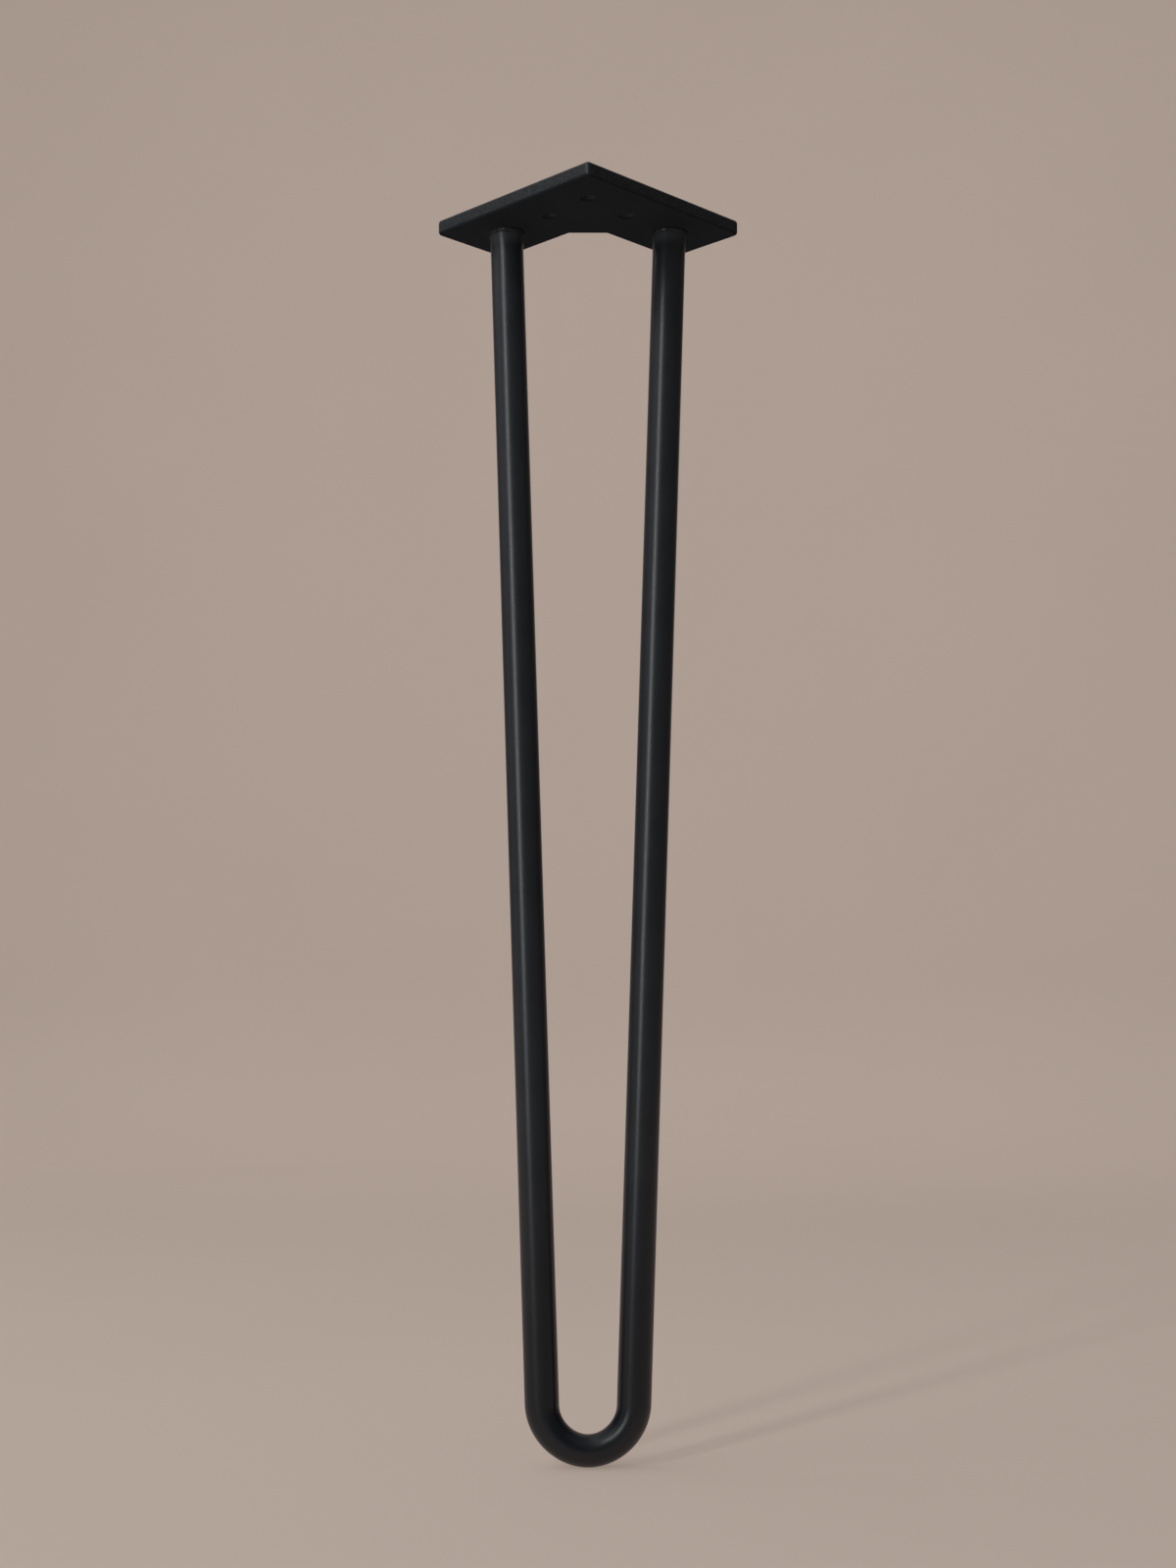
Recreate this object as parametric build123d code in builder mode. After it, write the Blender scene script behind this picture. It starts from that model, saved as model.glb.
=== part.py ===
from build123d import *
import os
from math import asin, atan2, cos, hypot, radians, sin, sqrt, tan

# Hairpin table leg: a round rod bent once into a narrow U and welded by both ends under a
# flat right-angle plate. The origin lies on the plate's top face, on the mirror plane of the
# leg, midway between the two arm screw holes. +Z is up, the plate's outer corner points to
# -Y, and the rod hangs below the plate with its bend on the floor.

# Driving dimensions in millimetres and degrees
LEG_HEIGHT = 450.0  # plate's top face to the floor
LEAN_DEG = 4.0  # tilt of the rod's plane, which brings the foot out under the plate's corner

ARM_LENGTH = 79.5  # along an outer edge, from the outer corner to the arm's end
ARM_WIDTH = 34.0
PLATE_THICKNESS = 5.0
INNER_FLAT = 13.8  # straight edge across the inner corner
TIP_RADIUS = 2.5  # corners of the arm ends
CORNER_RADIUS = 1.2  # outer corner, where the two arms meet
EDGE_ROUND = 1.0  # rims of the plate's top and bottom faces

SCREW_HOLE_DIAMETER = 5.2
ARM_SCREW_SPACING = 28.0  # between the two arm holes, across the mirror plane
CORNER_SCREW_INSET = 15.0  # corner hole, from both outer edges
HOLE_RIM_BREAK = 0.3

ROD_DIAMETER = 12.0
ROD_END_INSET = 20.0  # from the arm's end to the rod's axis, at the plate's underside
BEND_RADIUS = 16.0  # of the rod's axis

WELD_RADIUS = 3.7  # of the bead's rounded section
WELD_SINK = 2.9  # centre of that section, below the rod's surface

# Places worked out from the driving dimensions
rod_radius = ROD_DIAMETER / 2
arm_middle = ARM_WIDTH / 2
corner_y = -(ARM_SCREW_SPACING / 2 + arm_middle * sqrt(2))
screw_along = arm_middle + ARM_SCREW_SPACING / 2 * sqrt(2)
rod_along = ARM_LENGTH - ROD_END_INSET

# The plate's top face, with one arm along each local axis, and its underside
plate_top = Plane(origin=(0, corner_y, 0), x_dir=(1, 1, 0), z_dir=(0, 0, 1))
underside = Plane.XY.offset(-PLATE_THICKNESS)
rod_end = plate_top.from_local_coords((rod_along, arm_middle, -PLATE_THICKNESS))

# The leaning plane that holds the rod's axis: local X across the leg, local Y up the lean
lean = radians(LEAN_DEG)
rod_plane = Plane(origin=(0, rod_end.Y, rod_end.Z), x_dir=(1, 0, 0), z_dir=(0, -cos(lean), sin(lean)))

os.makedirs("parts", exist_ok=True)

# Mounting plate
with BuildPart() as mounting_plate:
    with BuildSketch(plate_top):
        with BuildLine():
            Polyline(
                (0, 0),
                (ARM_LENGTH, 0),
                (ARM_LENGTH, ARM_WIDTH),
                (ARM_WIDTH, ARM_WIDTH),
                (ARM_WIDTH, ARM_LENGTH),
                (0, ARM_LENGTH),
                close=True,
            )
        make_face()
        inner_corner = vertices().sort_by_distance((ARM_WIDTH, ARM_WIDTH))[0]
        chamfer(inner_corner, INNER_FLAT / sqrt(2))
        arm_tips = vertices().sort_by_distance((0, 0))[-4:]
        fillet(arm_tips, TIP_RADIUS)
        outer_corner = vertices().sort_by_distance((0, 0))[0]
        fillet(outer_corner, CORNER_RADIUS)
    extrude(amount=-PLATE_THICKNESS)
    rims = faces().filter_by(Axis.Z).edges()
    fillet(rims, EDGE_ROUND)
    with Locations(plate_top):
        with Locations(
            (CORNER_SCREW_INSET, CORNER_SCREW_INSET),
            (screw_along, arm_middle),
            (arm_middle, screw_along),
        ):
            Hole(SCREW_HOLE_DIAMETER / 2)
    hole_rims = edges(Select.LAST).filter_by(GeomType.CIRCLE)
    chamfer(hole_rims, HOLE_RIM_BREAK)
mounting_plate.part.label = "mounting_plate"
export_step(mounting_plate.part, "parts/mounting_plate.step")

# Bent rod. Each straight run leaves the plate at rod_end and is tangent to the bend, so its
# splay follows from the distance between the bend's centre and the rod's end.
rod_drop = (LEG_HEIGHT - PLATE_THICKNESS - rod_radius) / cos(lean)
bend_centre = BEND_RADIUS - rod_drop
splay = atan2(rod_end.X, -bend_centre) - asin(BEND_RADIUS / hypot(rod_end.X, bend_centre))
tangent_x = BEND_RADIUS * cos(splay)
tangent_y = bend_centre - BEND_RADIUS * sin(splay)
# The runs are drawn one diameter too long and cut off along the plate's underside
stock_x = rod_end.X + ROD_DIAMETER * tan(splay)

with BuildPart() as hairpin_rod:
    with BuildLine(rod_plane) as rod_axis:
        Line((-stock_x, ROD_DIAMETER), (-tangent_x, tangent_y))
        ThreePointArc((-tangent_x, tangent_y), (0, -rod_drop), (tangent_x, tangent_y))
        Line((tangent_x, tangent_y), (stock_x, ROD_DIAMETER))
    with BuildSketch(Plane(origin=rod_axis.line @ 0, z_dir=rod_axis.line % 0)):
        Circle(rod_radius)
    sweep()
    split(bisect_by=underside, keep=Keep.BOTTOM)
hairpin_rod.part.label = "hairpin_rod"
export_step(hairpin_rod.part, "parts/hairpin_rod.step")

# Weld beads. Each is a quarter disc turned about an upright axis through the rod's end. Its centre
# is sunk into the rod, and the slanting rod is then taken out of it.
bead_centre = rod_radius - WELD_SINK

for side, rod_x in (("left", -rod_end.X), ("right", rod_end.X)):
    with BuildPart() as weld_bead:
        section = Plane(origin=(rod_x, rod_end.Y, rod_end.Z), x_dir=(1, 0, 0), z_dir=(0, -1, 0))
        with BuildSketch(section):
            with BuildLine():
                Line((bead_centre, 0), (bead_centre + WELD_RADIUS, 0))
                CenterArc((bead_centre, 0), WELD_RADIUS, start_angle=270, arc_size=90)
                Line((bead_centre, -WELD_RADIUS), (bead_centre, 0))
            make_face()
        revolve(axis=Axis(section.origin, (0, 0, 1)))
        add(hairpin_rod.part, mode=Mode.SUBTRACT)
    weld_bead.part.label = f"weld_bead_{side}"
    export_step(weld_bead.part, f"parts/weld_bead_{side}.step")
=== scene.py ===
"""Looks of a hairpin table leg: a bent round rod welded under an angle plate, in satin black powder coat.

Everything is in metres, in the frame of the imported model: the plate's top face at z = 0, +Z up, the
plate's outer corner towards -Y, and the bend of the rod on the floor.
"""

import math

import bpy
import numpy as np
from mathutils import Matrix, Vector


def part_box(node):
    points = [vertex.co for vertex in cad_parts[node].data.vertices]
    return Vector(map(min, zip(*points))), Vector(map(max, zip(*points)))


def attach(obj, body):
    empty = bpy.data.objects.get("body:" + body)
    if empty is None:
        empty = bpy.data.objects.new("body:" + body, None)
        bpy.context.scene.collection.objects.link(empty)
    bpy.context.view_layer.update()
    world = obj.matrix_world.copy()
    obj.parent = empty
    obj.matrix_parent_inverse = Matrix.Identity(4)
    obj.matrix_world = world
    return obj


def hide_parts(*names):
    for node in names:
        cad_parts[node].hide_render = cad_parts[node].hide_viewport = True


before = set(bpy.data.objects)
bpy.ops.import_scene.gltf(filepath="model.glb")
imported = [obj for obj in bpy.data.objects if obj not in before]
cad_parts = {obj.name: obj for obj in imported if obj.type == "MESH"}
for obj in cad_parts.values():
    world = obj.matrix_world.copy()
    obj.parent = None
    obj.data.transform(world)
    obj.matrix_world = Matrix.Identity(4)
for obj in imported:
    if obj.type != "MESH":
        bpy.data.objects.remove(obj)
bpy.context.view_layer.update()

MM = 0.001

# Driving dimensions of the leg
LEG_HEIGHT = 450 * MM
LEAN = math.radians(4)
ROD_RADIUS = 6 * MM
BEND_RADIUS = 16 * MM
FLATTENING = 0.06  # share of the rod's thickness lost at the lowest point of the bend
SETTLING = 6  # power of the bend by which the flattened rod moves out, so only near its lowest point
FLARE_LENGTH = 7.5 * MM  # below the plate, where the rod begins to swell towards the weld
FLARE_RADIUS = 43 * MM  # of the hollow that it swells in
END_CLEARANCE = FLARE_LENGTH / 6  # from the rod's slanting end to the next circle along it
WELD_RADIUS = 3.7 * MM  # of the bead's rounded section
WELD_SINK = 2.9 * MM  # centre of that section, below the rod's surface
WELD_ROOT = 0.3 * MM  # how far the bead's back lies inside the plate and the rod
WELD_WAVES = (2, 1, 0.02), (5, -2, 0.015)  # waves round a bead, shift by side, share of its radius
RIPPLES = 34  # round a bead
RIPPLE_HEIGHT = 0.02 * MM
RIPPLE_TRAIL = 2.2  # radians by which a ripple's two ends trail its middle

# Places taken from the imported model
plate_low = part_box("mounting_plate")[0]
ring_low, ring_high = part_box("weld_bead_right")
UNDERSIDE = plate_low.z
PLATE_CORNER = plate_low.y
ROD_END_X = (ring_low.x + ring_high.x) / 2
ROD_END_Y = (ring_low.y + ring_high.y) / 2
FLOOR = -LEG_HEIGHT

# The leaning plane of the rod, and the splay of its two runs
ACROSS = np.array([1.0, 0.0, 0.0])
UP_THE_LEAN = np.array([0.0, math.sin(LEAN), math.cos(LEAN)])
OUT_OF_PLANE = np.array([0.0, -math.cos(LEAN), math.sin(LEAN)])
ROD_DROP = (UNDERSIDE - FLOOR - ROD_RADIUS) / math.cos(LEAN)
BEND_HEIGHT = BEND_RADIUS - ROD_DROP
SPLAY = math.atan2(ROD_END_X, -BEND_HEIGHT) - math.asin(BEND_RADIUS / math.hypot(ROD_END_X, BEND_HEIGHT))


# Meshes
def grid_mesh(name, grid, ring_of_rows=False, capped=()):
    """A smooth mesh from a grid of points, rows by columns, whose columns close into a ring. The rows may
    close into a ring too, and each row named in capped, 0 or -1, gets a fan of triangles about its
    middle."""
    rows, columns = grid.shape[:2]
    index = np.arange(rows * columns).reshape(rows, columns)
    near = index if ring_of_rows else index[:-1]
    far = np.roll(index, -1, axis=0) if ring_of_rows else index[1:]
    quads = np.stack([near, far, np.roll(far, -1, axis=1), np.roll(near, -1, axis=1)], axis=-1)
    points = [grid.reshape(-1, 3)] + [grid[row].mean(axis=0, keepdims=True) for row in capped]
    faces = quads.reshape(-1, 4).tolist()
    for number, row in enumerate(capped):
        hub = np.full(columns, rows * columns + number)
        rim = index[row] if row == 0 else index[row][::-1]
        faces += np.stack([hub, rim, np.roll(rim, -1)], axis=-1).tolist()
    mesh = bpy.data.meshes.new(name)
    mesh.from_pydata(np.concatenate(points), [], faces)
    mesh.polygons.foreach_set("use_smooth", np.ones(len(mesh.polygons), bool))
    mesh.update()
    piece = bpy.data.objects.new(name, mesh)
    bpy.context.scene.collection.objects.link(piece)
    return piece


def rod_axis(flare_steps=14, run_steps=60, bend_steps=64):
    """The rod's axis in the leaning plane, from the left end down the run, round the bend and up to the
    right end: two straight lines tangent to one arc, with closer points where the rod swells. Returns its
    points and unit tangents, as (across, up) pairs, and the bend at each: the cosine of the angle from
    the lowest point, or 0 along the runs."""
    turn = np.linspace(math.pi + SPLAY, 2 * math.pi - SPLAY, bend_steps + 1)
    arc = np.stack([BEND_RADIUS * np.cos(turn), BEND_HEIGHT + BEND_RADIUS * np.sin(turn)], axis=-1)
    arc_tangent = np.stack([-np.sin(turn), np.cos(turn)], axis=-1)
    end = np.array([-ROD_END_X, 0.0])
    clear, flared = np.array([END_CLEARANCE, FLARE_LENGTH]) / np.linalg.norm(arc[0] - end)
    close = np.linspace(clear, flared, flare_steps, endpoint=False)
    share = np.concatenate([[0], close, np.linspace(flared, 1, run_steps, endpoint=False)])[:, None]
    left = end * (1 - share) + arc[0] * share
    right = left[::-1] * [-1, 1]
    left_tangent = np.broadcast_to(arc_tangent[0], left.shape)
    right_tangent = np.broadcast_to(arc_tangent[-1], right.shape)
    straight = np.zeros(len(left))
    points = np.concatenate([left, arc, right])
    tangents = np.concatenate([left_tangent, arc_tangent, right_tangent])
    return points, tangents, np.concatenate([straight, -np.sin(turn), straight])


def hairpin_rod(sides=96):
    """The rod: a circle of the rod's radius carried along its axis, square to it. In the bend it is an
    oval, thinner in the bend's plane and half as much wider out of it, and near the lowest point it moves
    out so that the rod still stands on the floor. Just under the plate it swells in a shallow hollow,
    where the weld runs out on it, by the square of the climb over the hollow's diameter. The two end
    circles slide along the rod until each point lies in the plate's underside."""
    axis, tangent, bend = rod_axis()
    origin = np.array([0.0, ROD_END_Y, UNDERSIDE])
    centre = origin + axis[:, :1] * ACROSS + axis[:, 1:] * UP_THE_LEAN
    along = tangent[:, :1] * ACROSS + tangent[:, 1:] * UP_THE_LEAN
    inward = np.cross(OUT_OF_PLANE, along)
    centre = centre - ROD_RADIUS * FLATTENING * bend[:, None] ** SETTLING * inward
    flat = FLATTENING * bend[:, None]
    swell = np.maximum(axis[:, 1:] + FLARE_LENGTH, 0) ** 2 / (2 * FLARE_RADIUS)
    thin = ((ROD_RADIUS * (1 - flat) + swell) * inward)[:, None]
    wide = ((ROD_RADIUS * (1 + flat / 2) + swell) * OUT_OF_PLANE)[:, None]
    turn = np.linspace(0, 2 * math.pi, sides, endpoint=False)[None, :, None]
    grid = centre[:, None] + np.cos(turn) * thin + np.sin(turn) * wide
    for end in (0, -1):
        slide = (UNDERSIDE - grid[end, :, 2:]) / along[end, 2]
        grid[end] += slide * along[end]
    return grid_mesh("bent_rod", grid, capped=(0, -1))


def weld_ring(name, side, turns=272, outline=24):
    """A weld bead round a rod end: an arc about a centre sunk in the rod, from the plate's underside down
    into the rod, carried round the slanting rod. It rises and falls with the curved ripples that the weld
    pool left, and slow waves make it a little uneven. Its back lies inside the rod and the plate."""
    around = np.linspace(0, 2 * math.pi, turns, endpoint=False)[:, None]
    arc = np.linspace(0, math.acos((WELD_SINK - WELD_ROOT) / WELD_RADIUS), outline)[None, :]
    share = arc / arc.max()
    uneven = 1 + sum(depth * np.sin(count * around + shift * side) for count, shift, depth in WELD_WAVES)
    phase = RIPPLES * around - RIPPLE_TRAIL * (2 * share - 1) ** 2
    radius = WELD_RADIUS * uneven + RIPPLE_HEIGHT * np.cos(phase) * np.sin(math.pi * share)
    root = np.full_like(around, -WELD_ROOT)
    out = np.concatenate([radius * np.cos(arc) - WELD_SINK, root, radius[:, :1] - WELD_SINK], axis=1)
    down = np.concatenate([radius * np.sin(arc), root, root], axis=1)
    slope = np.array([side * math.tan(SPLAY), math.tan(LEAN)])
    middle = np.array([side * ROD_END_X, ROD_END_Y]) - down[..., None] * slope
    heading = np.stack([np.cos(around), np.sin(around)], axis=-1)
    level = middle + (ROD_RADIUS + out[..., None]) * heading
    grid = np.concatenate([level, UNDERSIDE - down[..., None]], axis=-1)
    return grid_mesh(name, grid, ring_of_rows=True)


# Materials
class Wire:
    """One output of a material's nodes. Arithmetic on wires and numbers adds Math nodes."""

    def __init__(self, finish, socket):
        self.finish = finish
        self.socket = socket

    def math(self, operation, first, second):
        return self.finish.node("ShaderNodeMath", {"operation": operation}, {0: first, 1: second})

    def __add__(self, other):
        return self.math("ADD", self, other)

    def __sub__(self, other):
        return self.math("SUBTRACT", self, other)

    def __rsub__(self, other):
        return self.math("SUBTRACT", other, self)

    def __mul__(self, other):
        return self.math("MULTIPLY", self, other)

    __radd__ = __add__
    __rmul__ = __mul__


class Finish:
    """A material that starts with no nodes, the one method that adds a node, and what the coats and the
    paper build from it."""

    def __init__(self, name):
        self.material = bpy.data.materials.new(name)
        self.material.use_nodes = True
        self.tree = self.material.node_tree
        self.tree.nodes.clear()

    def node(self, kind, settings=None, sockets=None, output=0):
        """Adds a node, gives it its settings, then its sockets' values or links, and returns one
        output."""
        node = self.tree.nodes.new(kind)
        for setting, value in (settings or {}).items():
            setattr(node, setting, value)
        for key, value in (sockets or {}).items():
            if isinstance(value, Wire):
                self.tree.links.new(value.socket, node.inputs[key])
            else:
                node.inputs[key].default_value = value
        return Wire(self, node.outputs[output]) if node.outputs else None

    def place(self):
        """The point on the surface, in the model's frame."""
        return self.node("ShaderNodeTexCoord", output="Object")

    def axis(self, letter):
        """The place along one axis."""
        return self.node("ShaderNodeSeparateXYZ", None, {0: self.place()}, output=letter)

    def distance(self, first, second):
        """How far two places lie apart."""
        return self.node("ShaderNodeVectorMath", {"operation": "DISTANCE"}, {0: first, 1: second}, "Value")

    def corner(self):
        """Mask of the painted light: 1 in the inner corner between a rod end and the plate, where shade
        falls, 0 a few millimetres out of it.
        """
        across = self.node("ShaderNodeMath", {"operation": "ABSOLUTE"}, {0: self.axis("X")})
        folded = self.node("ShaderNodeCombineXYZ", None, {0: across, 1: self.axis("Y"), 2: self.axis("Z")})
        return 1 - self.band(self.distance(folded, (ROD_END_X, ROD_END_Y, UNDERSIDE)), *PAINTED_LIGHT_REACH)

    def cloud(self, size, detail):
        """Soft noise between 0 and 1 whose lumps are about `size` across."""
        sockets = {"Vector": self.place(), "Scale": 1 / size, "Detail": detail, "Roughness": 0.5}
        return self.node("ShaderNodeTexNoise", {"noise_dimensions": "3D"}, sockets)

    def band(self, value, low, high):
        """0 below low, 1 above high, and a smooth step between."""
        sockets = {"Value": value, "From Min": low, "From Max": high}
        return self.node("ShaderNodeMapRange", {"interpolation_type": "SMOOTHSTEP"}, sockets)

    def blend(self, share, first, second):
        """A colour that goes from first to second with the share."""
        return self.node("ShaderNodeMix", {"data_type": "RGBA"}, {0: share, 6: first, 7: second}, output=2)

    def shader(self, sockets):
        return self.node("ShaderNodeBsdfPrincipled", None, sockets)

    def finished(self, shader):
        """Puts the shader on the surface, and returns the material."""
        self.node("ShaderNodeOutputMaterial", None, {"Surface": shader})
        return self.material


# Tones of the coats. A pair is the two tones that a coat varies between.
ROD_TONES = (0.0235, 0.0280, 0.0335, 1), (0.0285, 0.0340, 0.0405, 1)
# painted shade: the rod's much darker tones towards the foot, against the floor's light mirrored in its
# lower part
FOOT_PAINTED_SHADE_TONES = (0.0054, 0.0088, 0.0144, 1), (0.0066, 0.0104, 0.0165, 1)
FACE_TONES = (0.0222, 0.0284, 0.0360, 1), (0.0248, 0.0319, 0.0402, 1)
WELD_TONES = (0.0300, 0.0345, 0.0400, 1), (0.0340, 0.0395, 0.0460, 1)
# painted light: a paler tone on the rod's top in the inner corner under the plate, against the shade there
ROD_CORNER_PAINTED_LIGHT_TONE = (0.0640, 0.0730, 0.0830, 1)
# painted light: a paler tone on the plate's underside round the rod ends, against the shade there
FACE_CORNER_PAINTED_LIGHT_TONE = (0.0350, 0.0420, 0.0500, 1)
EDGE_TONES = (0.0280, 0.0315, 0.0355, 1), (0.0385, 0.0425, 0.0475, 1)
# thin grey coat in the screw holes, made paler still as painted light against the shade inside them
BORE_GREY_AND_PAINTED_LIGHT_TONES = (0.0700, 0.0750, 0.0810, 1), (0.0850, 0.0905, 0.0970, 1)

# Where one coat, or a painted shade or painted light, gives way to another: the two ends of each change
# where the painted shade towards the foot fades out up the rod
FOOT_PAINTED_SHADE_TOP = FLOOR + 20 * MM, FLOOR + 130 * MM
# reach of the painted light in the inner corners round the rod ends
PAINTED_LIGHT_REACH = 6.8 * MM, 9.5 * MM  # from the middle of a rod end
# the painted light in the inner corners stays on the underside, below this rise
PAINTED_LIGHT_RISE = UNDERSIDE + 0.2 * MM, UNDERSIDE + 1 * MM
LOWER_RIM = UNDERSIDE + 0.3 * MM, UNDERSIDE + 0.9 * MM
UPPER_RIM = -0.3 * MM, -0.02 * MM
HOLES_MIDDLE = (0, -5 * MM, 0)
HOLES_REACH = 18.5 * MM, 20.5 * MM  # from the middle of the screw holes
RUBBED_REACH = PLATE_CORNER + 0.2 * MM, PLATE_CORNER + 0.6 * MM
WELD_SATIN_RISE = UNDERSIDE - 1.8 * MM, UNDERSIDE - 1.2 * MM

# Texture of the coats
TONE_LUMPS = 18 * MM
GLOSS_LUMPS = 9 * MM
PEEL_LUMPS = 2 * MM
GRAIN_LUMPS = 0.45 * MM
EDGE_LUMPS = 0.7 * MM
NOISE_SPREAD = 0.3, 0.7  # where nearly all values of a noise lie
GLOSS_MOTTLE = 0.06  # how far the roughness varies with its lumps
GLOSS_GRAIN = 0.05  # and with the grain
PEEL_GRAIN = 0.15  # height of the grain on the orange peel
PEEL_DEPTH = 0.02 * MM
WELD_PEEL_DEPTH = 0.008 * MM
EDGE_SATIN = 0.22  # weight of the satin layer on the plate's cut edges
EDGE_SATIN_GRAIN = 0.38  # and what the grain adds to it
WELD_SATIN = 0.6


def coat_texture(coat, peel_depth):
    """What every coat on the leg shares: an uneven tone, mottled gloss about 0, and the normal of the
    orange peel that the powder leaves as it melts."""
    tone = coat.band(coat.cloud(TONE_LUMPS, detail=4), *NOISE_SPREAD)
    grain = coat.cloud(GRAIN_LUMPS, detail=2)
    mottle = GLOSS_MOTTLE * (coat.cloud(GLOSS_LUMPS, detail=3) - 0.5) + GLOSS_GRAIN * (grain - 0.5)
    height = coat.cloud(PEEL_LUMPS, detail=1) + PEEL_GRAIN * grain
    peel = coat.node("ShaderNodeBump", None, {"Height": height, "Strength": 1.0, "Distance": peel_depth})
    return tone, mottle, peel


def rod_coat(rough=0.34, gloss=0.5):
    """The rod's coat: satin black, cool, a little uneven in tone and deepest towards the foot, which is
    painted shade. It is paler and greyer in the inner corner under the plate, which is painted light
    against the shade there."""
    coat = Finish("rod_coat")
    tone, mottle, peel = coat_texture(coat, PEEL_DEPTH)
    # painted shade: the rod darkens towards the foot
    above_foot_painted_shade = coat.band(coat.axis("Z"), *FOOT_PAINTED_SHADE_TOP)
    colour = coat.blend(above_foot_painted_shade, coat.blend(tone, *FOOT_PAINTED_SHADE_TONES), coat.blend(tone, *ROD_TONES))
    return coat.finished(coat.shader({
        # painted light: the rod is paler in the inner corner under the plate, where the plate shades it
        "Base Color": coat.blend(coat.corner(), colour, ROD_CORNER_PAINTED_LIGHT_TONE),
        "Roughness": rough + mottle,
        "Specular IOR Level": gloss,
        "Normal": peel,
    }))


def flat_coat(coat, satin, colour, mottle, peel, rough=0.86, gloss=0.1, satin_rough=0.42):
    """A flat black with a satin top layer where satin is over 0."""
    return coat.finished(coat.shader({
        "Base Color": colour,
        "Roughness": rough + mottle,
        "Specular IOR Level": gloss,
        "Coat Weight": satin,
        "Coat Roughness": satin_rough,
        "Normal": peel,
    }))


def plate_coat():
    """The plate's coat: flat and deep on its faces, and greyer in the inner corners round the rod ends,
    which is painted light against the shade there. It is satin and paler on its cut edges, with a fine
    grain there, rubbed shinier at the outer corner, and grey in its holes: a thin coat there, made paler
    still as painted light against the holes' shade."""
    coat = Finish("plate_coat")
    tone, mottle, peel = coat_texture(coat, PEEL_DEPTH)
    height = coat.axis("Z")
    between_faces = coat.band(height, *LOWER_RIM) * (1 - coat.band(height, *UPPER_RIM))
    outside = coat.band(coat.distance(coat.place(), HOLES_MIDDLE), *HOLES_REACH)
    speckle = coat.band(coat.cloud(EDGE_LUMPS, detail=2), *NOISE_SPREAD)
    # the holes' tone is a thin grey coat plus painted light against their shade
    cut_colour = coat.blend(outside, coat.blend(speckle, *BORE_GREY_AND_PAINTED_LIGHT_TONES), coat.blend(speckle, *EDGE_TONES))
    # painted light on the underside round the rod ends, against the shade in the inner corners
    below = 1 - coat.band(height, *PAINTED_LIGHT_RISE)
    face_colour_with_painted_light = coat.blend(coat.corner() * below, coat.blend(tone, *FACE_TONES), FACE_CORNER_PAINTED_LIGHT_TONE)
    colour = coat.blend(between_faces, face_colour_with_painted_light, cut_colour)
    edge_satin = between_faces * outside * (EDGE_SATIN + EDGE_SATIN_GRAIN * speckle)
    rubbed = between_faces * (1 - coat.band(coat.axis("Y"), *RUBBED_REACH))
    return flat_coat(coat, edge_satin + rubbed * (1 - edge_satin), colour, mottle, peel)


def weld_coat():
    """The weld's coat: flat and deep, and satin along its upper part, beside the plate."""
    coat = Finish("weld_coat")
    tone, mottle, peel = coat_texture(coat, WELD_PEEL_DEPTH)
    satin = WELD_SATIN * coat.band(coat.axis("Z"), *WELD_SATIN_RISE)
    return flat_coat(coat, satin, coat.blend(tone, *WELD_TONES), mottle, peel, satin_rough=0.2)


# Studio
FLOOR_TONES = (0.690, 0.565, 0.490, 1), (0.720, 0.590, 0.512, 1)
WALL_TONES = (0.635, 0.515, 0.440, 1), (0.665, 0.540, 0.462, 1)
SURROUND_TONE = (0.17, 0.165, 0.16, 1)
PAPER_LUMPS = 0.35
WALL_FOOT = FLOOR + 0.01, FLOOR + 0.25  # where the floor's tone gives way to the wall's
WALL_SIDES = 0.72, 0.9  # cosine of the angle from straight behind the leg: grey below, pale above
OWN_COLOUR = 0.4  # share of the paper that shows its own colour

# Each softbox: place, the point that it faces, width, height, watts and spread in degrees
SOFTBOXES = {
    "upper_left": ((-0.8, 0.1, 1.0), (0, 0, FLOOR), 1.4, 1.4, 4.8, 180),
    "wall_wash": ((0, 0.3, 1.7), (0, 2.8, 0.5), 1.6, 0.5, 5.5, 95),
    "left_panel": ((-1.3, -0.1, 0.15), (0, 0, FLOOR + 0.6 * LEG_HEIGHT), 0.9, 1.1, 0.62, 180),
    "key_strip": ((-0.75, -1.05, 0.46), (0, 0, 0.46), 0.1, 1.28, 6.6, 180),
}
LAMP_TINT = (0.94, 0.97, 1.0)
AIR_TINT = (0.8, 0.8, 0.8, 1)
AIR_STRENGTH = 0.28

# The photograph's camera, fitted to the leg's outline
CAMERA_DISTANCE = 728.85 * MM  # in front of the plate's corner
CAMERA_HEIGHT = 150.64 * MM  # above the floor
CAMERA_PITCH = math.radians(2.411)
CAMERA_LENS = 49.422
CAMERA_SENSOR = 36
CAMERA_SHIFT = 0.1


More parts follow.
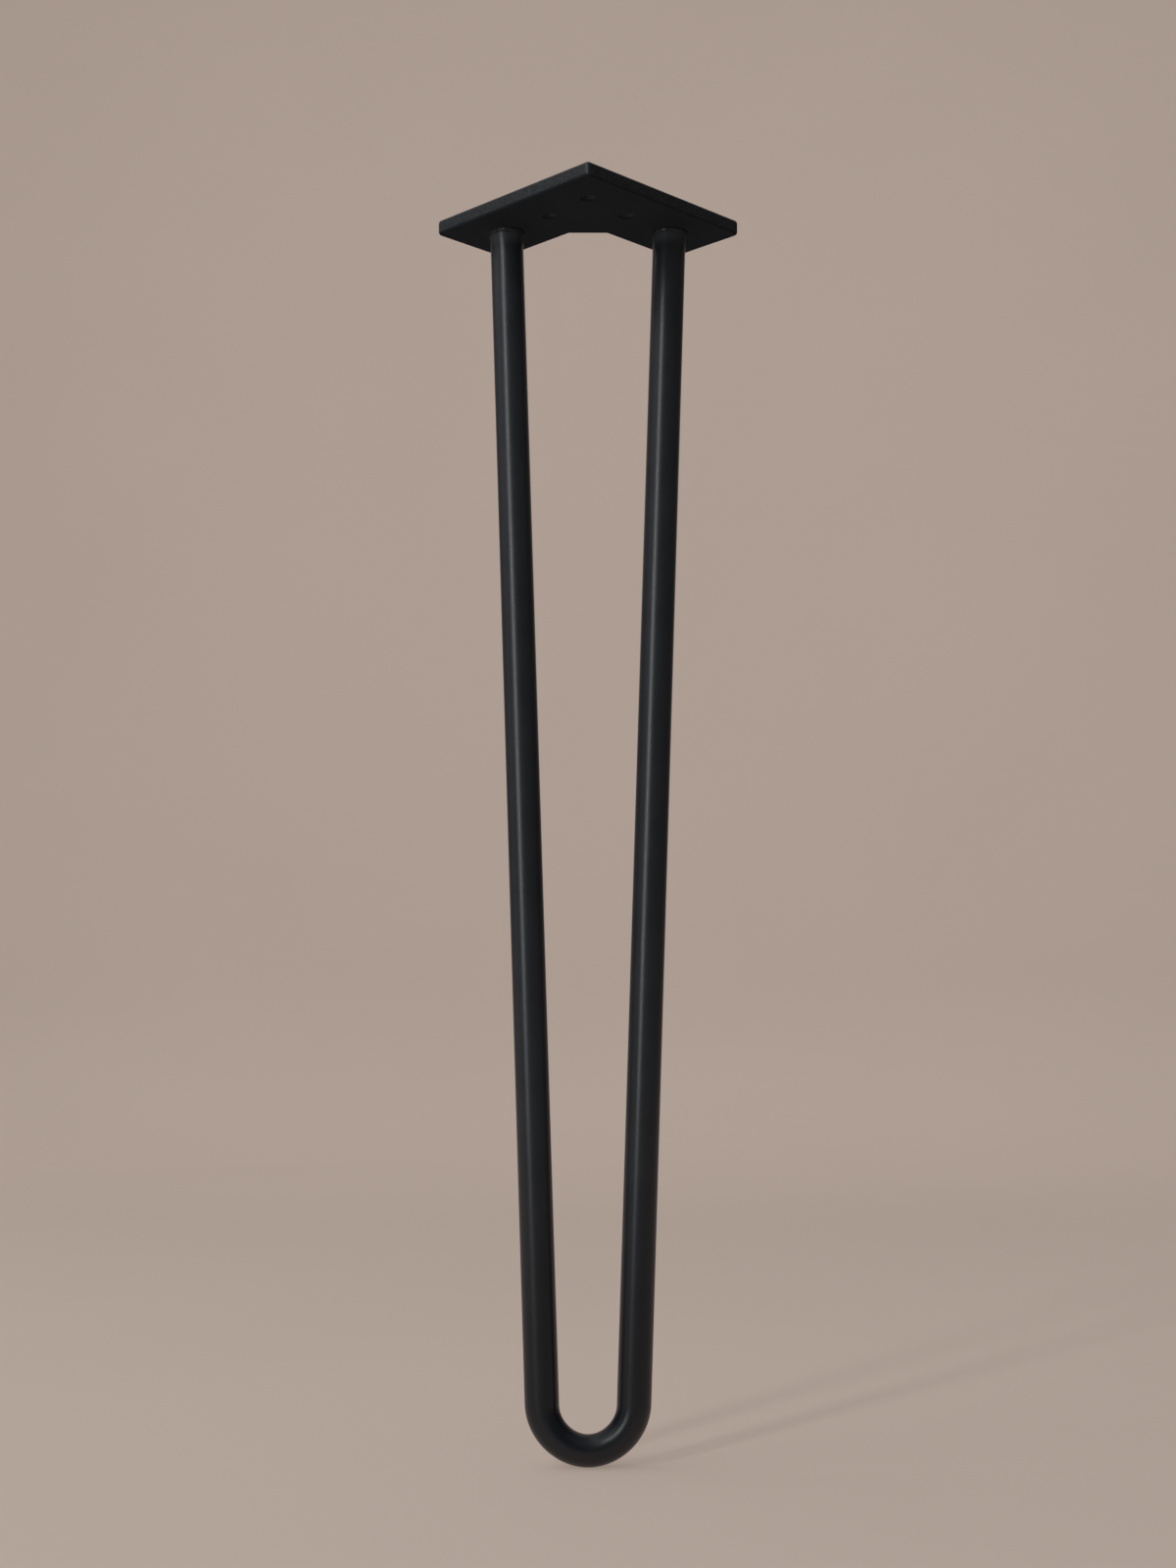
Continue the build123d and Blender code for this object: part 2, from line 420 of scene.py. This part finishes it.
def studio_paper():
    """Plain matte paper with a faint soft mottle: pale on the floor, a little deeper on the wall behind
    the leg, and grey on the rest of the wall. To the camera and in reflections two fifths of it is its
    own colour, whatever the light, and the rest is lit paper with the leg's shadow."""
    paper = Finish("studio_paper")
    mottle = paper.cloud(PAPER_LUMPS, detail=2)
    level = paper.node("ShaderNodeVectorMath", {"operation": "MULTIPLY"}, {0: paper.place(), 1: (1, 1, 0)})
    heading = paper.node("ShaderNodeVectorMath", {"operation": "NORMALIZE"}, {0: level})
    backwards = paper.node("ShaderNodeSeparateXYZ", None, {0: heading}, "Y")
    off_the_floor = paper.band(paper.axis("Z"), *WALL_FOOT)
    aside = 1 - paper.band(backwards, *WALL_SIDES)
    pale = paper.blend(off_the_floor, paper.blend(mottle, *FLOOR_TONES), paper.blend(mottle, *WALL_TONES))
    colour = paper.blend(off_the_floor * aside, pale, SURROUND_TONE)
    lit = paper.shader({"Base Color": colour, "Roughness": 0.7, "Specular IOR Level": 0.2})
    own = paper.node("ShaderNodeEmission", None, {"Color": colour, "Strength": 1.0})
    ray = [paper.node("ShaderNodeLightPath", output=kind)
           for kind in ("Is Camera Ray", "Is Glossy Ray", "Is Transmission Ray")]
    seen = paper.band(ray[0] + ray[1] + ray[2], 0, 1)
    return paper.finished(paper.node("ShaderNodeMixShader", None, {0: OWN_COLOUR * seen, 1: lit, 2: own}))


def studio_sweep(inner_rings=(0.3, 0.9), floor_radius=1.8, cove=1.0, wall=2.2, steps=16, turns=128):
    """Floor, cove and wall in one: a profile of a level line, a quarter circle and an upright line,
    turned once about the leg."""
    quarter = np.linspace(0, math.pi / 2, steps)
    wall_radius = floor_radius + cove
    reach = np.concatenate([inner_rings, floor_radius + cove * np.sin(quarter), [wall_radius]])[:, None]
    flat = np.zeros(len(inner_rings))
    rise = np.concatenate([flat, cove * (1 - np.cos(quarter)), [cove + wall]])[:, None]
    turn = np.linspace(0, 2 * math.pi, turns, endpoint=False)[None, :]
    grid = np.stack([reach * np.cos(turn), reach * np.sin(turn), FLOOR + rise + 0 * turn], axis=-1)
    sweep = grid_mesh("studio_sweep", grid[:, ::-1], capped=(0,))
    sweep.data.materials.append(studio_paper())


def softbox(name, place, aim, width, height, watts, spread):
    """A rectangular studio light at a place, turned to face a point. The camera doesn't see it."""
    lamp = bpy.data.lights.new(name, "AREA")
    lamp.shape = "RECTANGLE"
    lamp.size = width
    lamp.size_y = height
    lamp.energy = watts
    lamp.color = LAMP_TINT
    lamp.spread = math.radians(spread)
    box = bpy.data.objects.new(name, lamp)
    box.location = place
    box.rotation_euler = (Vector(aim) - Vector(place)).to_track_quat("-Z", "Y").to_euler()
    box.visible_camera = False
    bpy.context.scene.collection.objects.link(box)


def studio_lights():
    """The softboxes, and a little even light from all round."""
    for name, settings in SOFTBOXES.items():
        softbox(name, *settings)
    world = bpy.data.worlds.new("studio_air")
    world.use_nodes = True
    air = world.node_tree.nodes["Background"]
    air.inputs["Color"].default_value = AIR_TINT
    air.inputs["Strength"].default_value = AIR_STRENGTH
    bpy.context.scene.world = world


def photo_camera():
    """The photograph's view: from a third of the leg's height, looking up a little at it."""
    data = bpy.data.cameras.new("photo_camera")
    data.lens = CAMERA_LENS
    data.sensor_width = CAMERA_SENSOR
    data.shift_y = CAMERA_SHIFT
    camera = bpy.data.objects.new("photo_camera", data)
    camera.location = (0, PLATE_CORNER - CAMERA_DISTANCE, FLOOR + CAMERA_HEIGHT)
    camera.rotation_euler = (math.pi / 2 + CAMERA_PITCH, 0, 0)
    bpy.context.scene.collection.objects.link(camera)
    bpy.context.scene.camera = camera


def main():
    """The rod and the welds in place of their solids, a coat on the plate, and the studio."""
    rod = hairpin_rod()
    welds = {side: weld_ring(f"weld_ring_{side}", sign) for side, sign in (("left", -1), ("right", 1))}

    rod.data.materials.append(rod_coat())
    weld_finish = weld_coat()

    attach(rod, "root")
    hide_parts("hairpin_rod")
    for side, ring in welds.items():
        ring.data.materials.append(weld_finish)
        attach(ring, "root")
        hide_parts(f"weld_bead_{side}")
    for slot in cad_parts["mounting_plate"].material_slots:
        slot.material = plate_coat()

    studio_sweep()
    studio_lights()
    photo_camera()
    bpy.context.scene.view_settings.view_transform = "Standard"


main()
